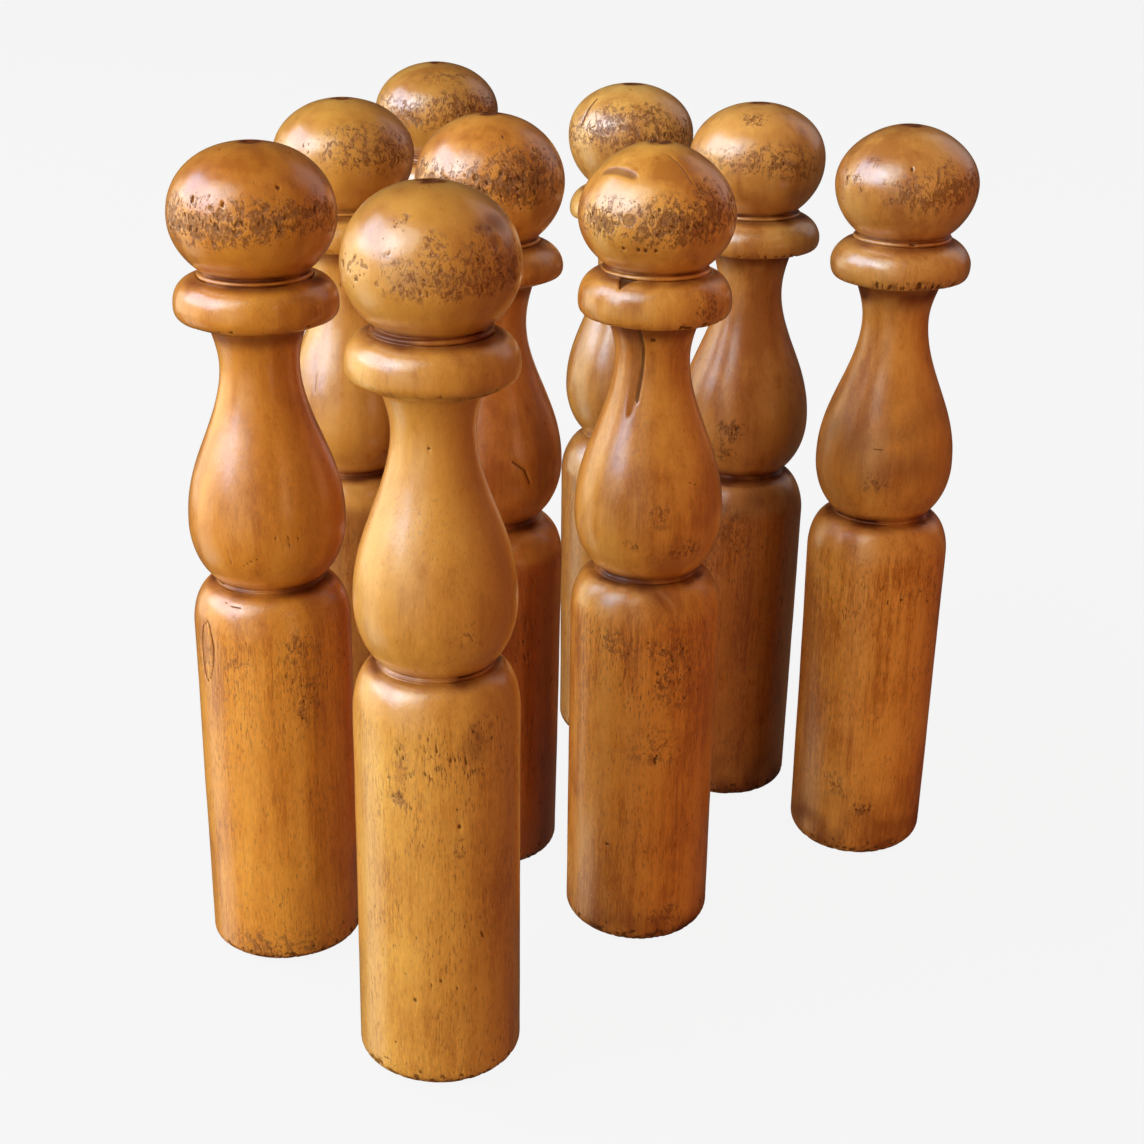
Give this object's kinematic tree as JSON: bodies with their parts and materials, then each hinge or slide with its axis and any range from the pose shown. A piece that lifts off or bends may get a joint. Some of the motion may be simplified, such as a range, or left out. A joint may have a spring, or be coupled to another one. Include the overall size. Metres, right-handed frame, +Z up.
{
  "type": "skittle set",
  "caption": "Turned wooden skittles with ball heads, collars, slim necks, pear-shaped bellies and straight bodies, standing in a loose group.",
  "frame": {"origin": "on the floor, at the middle of the group's bounding box", "axes": "+Z up along the skittles' axes; +Y from the nearest skittle towards the farthest; +X to the right"},
  "size_m": [0.3646, 0.4876, 0.38],
  "materials": {
    "wood_king": "aged amber varnish, darker red-brown",
    "wood_front_left": "aged amber varnish",
    "wood_front": "aged amber varnish",
    "wood_left": "aged amber varnish, worn",
    "wood_back_left": "aged amber varnish, worn",
    "wood_front_right": "aged amber varnish",
    "wood_back": "aged amber varnish, worn",
    "wood_right": "aged amber varnish, darker red-brown",
    "wood_far_right": "aged amber varnish"
  },
  "bodies": {
    "king": {"skittle_king": "wood_king"},
    "front_left": {"skittle_front_left": "wood_front_left"},
    "front": {"skittle_front": "wood_front"},
    "left": {"skittle_left": "wood_left"},
    "back_left": {"skittle_back_left": "wood_back_left"},
    "front_right": {"skittle_front_right": "wood_front_right"},
    "back": {"skittle_back": "wood_back"},
    "right": {"skittle_right": "wood_right"},
    "far_right": {"skittle_far_right": "wood_far_right"}
  },
  "joints": [
    {"name": "topple_front_left", "type": "hinge", "parent": "king", "child": "front_left", "pos_m": [-0.17319, -0.13738, 0], "axis": [0.6714, -0.7411, 0], "range_deg": [0, 90]},
    {"name": "topple_front", "type": "hinge", "parent": "king", "child": "front", "pos_m": [-0.07056, -0.2436, 0], "axis": [0.9957, -0.0927, 0], "range_deg": [0, 90]},
    {"name": "topple_left", "type": "hinge", "parent": "king", "child": "left", "pos_m": [-0.15134, 0.07379, 0], "axis": [-0.7029, -0.7113, 0], "range_deg": [0, 90]},
    {"name": "topple_back_left", "type": "hinge", "parent": "king", "child": "back_left", "pos_m": [-0.09439, 0.24329, 0], "axis": [-0.9869, -0.1615, 0], "range_deg": [0, 90]},
    {"name": "topple_front_right", "type": "hinge", "parent": "king", "child": "front_right", "pos_m": [0.05066, -0.11619, 0], "axis": [0.666, 0.7459, 0], "range_deg": [0, 90]},
    {"name": "topple_back", "type": "hinge", "parent": "king", "child": "back", "pos_m": [0.03708, 0.15102, 0], "axis": [-0.8968, 0.4425, 0], "range_deg": [0, 90]},
    {"name": "topple_right", "type": "hinge", "parent": "king", "child": "right", "pos_m": [0.11132, 0.07409, 0], "axis": [-0.5267, 0.8501, 0], "range_deg": [0, 90]},
    {"name": "topple_far_right", "type": "hinge", "parent": "king", "child": "far_right", "pos_m": [0.18215, -0.00485, 0], "axis": [-0.0908, 0.9959, 0], "range_deg": [0, 90]}
  ]
}
